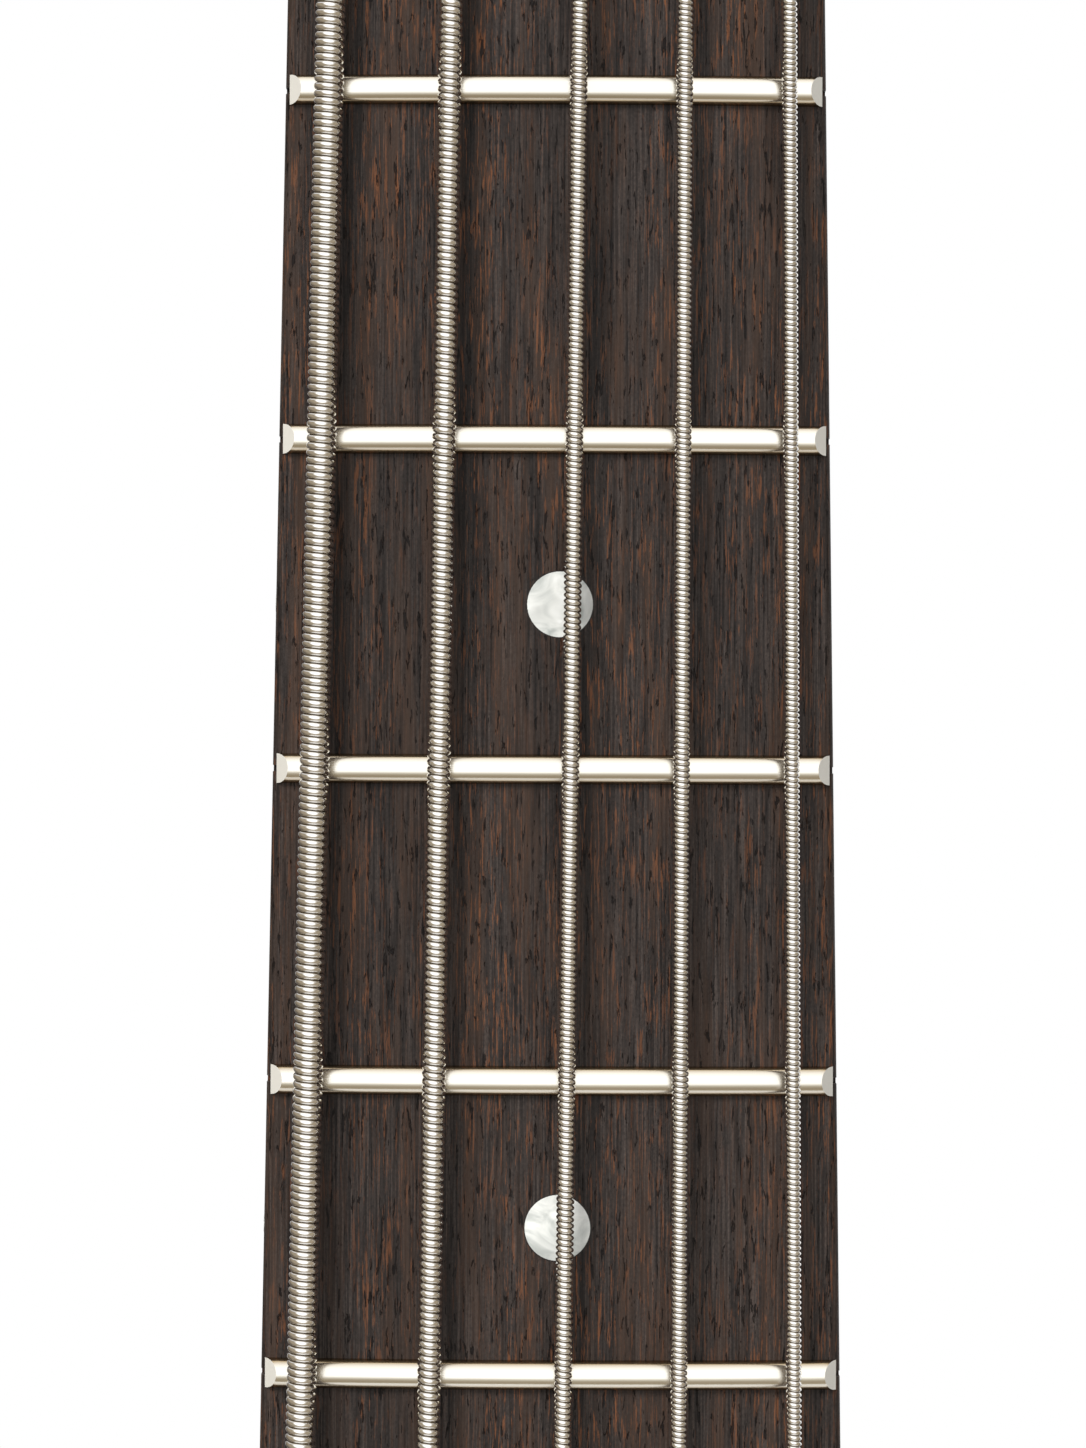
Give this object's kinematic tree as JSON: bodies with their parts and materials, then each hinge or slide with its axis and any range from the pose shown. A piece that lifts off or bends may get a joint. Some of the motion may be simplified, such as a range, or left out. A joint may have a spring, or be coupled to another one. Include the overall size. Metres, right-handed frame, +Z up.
{
  "type": "electric bass guitar",
  "caption": "Solid-body electric bass guitar with a bolt-on neck, open-gear tuning machines, round-wound strings, pickups, sliding bridge saddles and turning knobs.",
  "frame": {"origin": "on the centre line, at the nut end of the fingerboard, on the glue line between fingerboard and neck", "axes": "+Z up the neck towards the headstock's end, -Y out of the front of the fingerboard, +X to the thin-string side as seen from the front"},
  "size_m": [0.339, 0.0628, 1.1409],
  "materials": {
    "body_lacquer": "oiled walnut",
    "maple": "satin lacquer",
    "fingerboard_wood": "oiled",
    "bone": "polished",
    "fret_wire": "polished nickel silver",
    "string_steel": "round wound",
    "polished_hardware": "polished",
    "black_plastic": "satin"
  },
  "bodies": {
    "instrument": {"body": "body_lacquer", "neck": "maple", "fingerboard": "fingerboard_wood", "nut": "bone", "fret_01": "fret_wire", "fret_02": "fret_wire", "fret_03": "fret_wire", "fret_04": "fret_wire", "fret_05": "fret_wire", "fret_06": "fret_wire", "fret_07": "fret_wire", "fret_08": "fret_wire", "fret_09": "fret_wire", "fret_10": "fret_wire", "fret_11": "fret_wire", "fret_12": "fret_wire", "fret_13": "fret_wire", "fret_14": "fret_wire", "fret_15": "fret_wire", "fret_16": "fret_wire", "fret_17": "fret_wire", "fret_18": "fret_wire", "fret_19": "fret_wire", "fret_20": "fret_wire", "string_b": "string_steel", "string_e": "string_steel", "string_a": "string_steel", "string_d": "string_steel", "string_g": "string_steel", "tuner_plate_b": "polished_hardware", "tuner_plate_e": "polished_hardware", "tuner_plate_a": "polished_hardware", "tuner_plate_d": "polished_hardware", "tuner_plate_g": "polished_hardware", "bridge_plate": "polished_hardware", "control_cover": "black_plastic", "output_jack": "polished_hardware", "neck_plate": "polished_hardware", "strap_button_tail": "polished_hardware", "strap_button_horn": "polished_hardware"},
    "key_b": {"tuner_key_b": "polished_hardware"},
    "post_b": {"tuner_post_b": "polished_hardware"},
    "key_e": {"tuner_key_e": "polished_hardware"},
    "post_e": {"tuner_post_e": "polished_hardware"},
    "key_a": {"tuner_key_a": "polished_hardware"},
    "post_a": {"tuner_post_a": "polished_hardware"},
    "key_d": {"tuner_key_d": "polished_hardware"},
    "post_d": {"tuner_post_d": "polished_hardware"},
    "key_g": {"tuner_key_g": "polished_hardware"},
    "post_g": {"tuner_post_g": "polished_hardware"},
    "volume_knob": {"knob_volume": "polished_hardware"},
    "balance_knob": {"knob_balance": "polished_hardware"},
    "tone_knob": {"knob_tone": "polished_hardware"},
    "saddle_b_block": {"saddle_b": "polished_hardware"},
    "saddle_e_block": {"saddle_e": "polished_hardware"},
    "saddle_a_block": {"saddle_a": "polished_hardware"},
    "saddle_d_block": {"saddle_d": "polished_hardware"},
    "saddle_g_block": {"saddle_g": "polished_hardware"},
    "neck_pickup": {"pickup_neck": "black_plastic"},
    "bridge_pickup": {"pickup_bridge": "black_plastic"}
  },
  "joints": [
    {"name": "key_b_turn", "type": "hinge", "parent": "instrument", "child": "key_b", "pos_m": [-0.0305, 0.02652, 0.03433], "axis": [1, 0, 0], "continuous": true},
    {"name": "post_b_turn", "type": "hinge", "parent": "instrument", "child": "post_b", "pos_m": [-0.0305, 0.00781, 0.05032], "axis": [0, -0.9848, 0.1736], "continuous": true},
    {"name": "key_e_turn", "type": "hinge", "parent": "instrument", "child": "key_e", "pos_m": [-0.0305, 0.03434, 0.07864], "axis": [1, 0, 0], "continuous": true},
    {"name": "post_e_turn", "type": "hinge", "parent": "instrument", "child": "post_e", "pos_m": [-0.0305, 0.01563, 0.09463], "axis": [0, -0.9848, 0.1736], "continuous": true},
    {"name": "key_a_turn", "type": "hinge", "parent": "instrument", "child": "key_a", "pos_m": [-0.0305, 0.04215, 0.12296], "axis": [1, 0, 0], "continuous": true},
    {"name": "post_a_turn", "type": "hinge", "parent": "instrument", "child": "post_a", "pos_m": [-0.0305, 0.02344, 0.13895], "axis": [0, -0.9848, 0.1736], "continuous": true},
    {"name": "key_d_turn", "type": "hinge", "parent": "instrument", "child": "key_d", "pos_m": [0.0305, 0.03781, 0.09834], "axis": [1, 0, 0], "continuous": true},
    {"name": "post_d_turn", "type": "hinge", "parent": "instrument", "child": "post_d", "pos_m": [0.0305, 0.0191, 0.11433], "axis": [0, -0.9848, 0.1736], "continuous": true},
    {"name": "key_g_turn", "type": "hinge", "parent": "instrument", "child": "key_g", "pos_m": [0.0305, 0.02999, 0.05402], "axis": [1, 0, 0], "continuous": true},
    {"name": "post_g_turn", "type": "hinge", "parent": "instrument", "child": "post_g", "pos_m": [0.0305, 0.01129, 0.07001], "axis": [0, -0.9848, 0.1736], "continuous": true},
    {"name": "volume_knob_turn", "type": "hinge", "parent": "instrument", "child": "volume_knob", "pos_m": [0.092, 0.0032, -0.7896], "axis": [0, -1, 0], "range_deg": [-150, 150]},
    {"name": "balance_knob_turn", "type": "hinge", "parent": "instrument", "child": "balance_knob", "pos_m": [0.108, 0.0032, -0.8236], "axis": [0, -1, 0], "range_deg": [-150, 150]},
    {"name": "tone_knob_turn", "type": "hinge", "parent": "instrument", "child": "tone_knob", "pos_m": [0.118, 0.0032, -0.8606], "axis": [0, -1, 0], "range_deg": [-150, 150]},
    {"name": "saddle_b_slide", "type": "slide", "parent": "instrument", "child": "saddle_b_block", "axis": [0, 0, 1], "range_m": [0, 0.008]},
    {"name": "saddle_e_slide", "type": "slide", "parent": "instrument", "child": "saddle_e_block", "axis": [0, 0, 1], "range_m": [0, 0.008]},
    {"name": "saddle_a_slide", "type": "slide", "parent": "instrument", "child": "saddle_a_block", "axis": [0, 0, 1], "range_m": [0, 0.008]},
    {"name": "saddle_d_slide", "type": "slide", "parent": "instrument", "child": "saddle_d_block", "axis": [0, 0, 1], "range_m": [0, 0.008]},
    {"name": "saddle_g_slide", "type": "slide", "parent": "instrument", "child": "saddle_g_block", "axis": [0, 0, 1], "range_m": [0, 0.008]},
    {"name": "neck_pickup_slide", "type": "slide", "parent": "instrument", "child": "neck_pickup", "axis": [0, -1, 0], "range_m": [-0.002, 0.002]},
    {"name": "bridge_pickup_slide", "type": "slide", "parent": "instrument", "child": "bridge_pickup", "axis": [0, -1, 0], "range_m": [-0.002, 0.002]}
  ],
  "couplings": [
    {"joint": "post_b_turn", "follows": "key_b_turn", "ratio": -0.05},
    {"joint": "post_e_turn", "follows": "key_e_turn", "ratio": -0.05},
    {"joint": "post_a_turn", "follows": "key_a_turn", "ratio": -0.05},
    {"joint": "post_d_turn", "follows": "key_d_turn", "ratio": -0.05},
    {"joint": "post_g_turn", "follows": "key_g_turn", "ratio": -0.05}
  ]
}
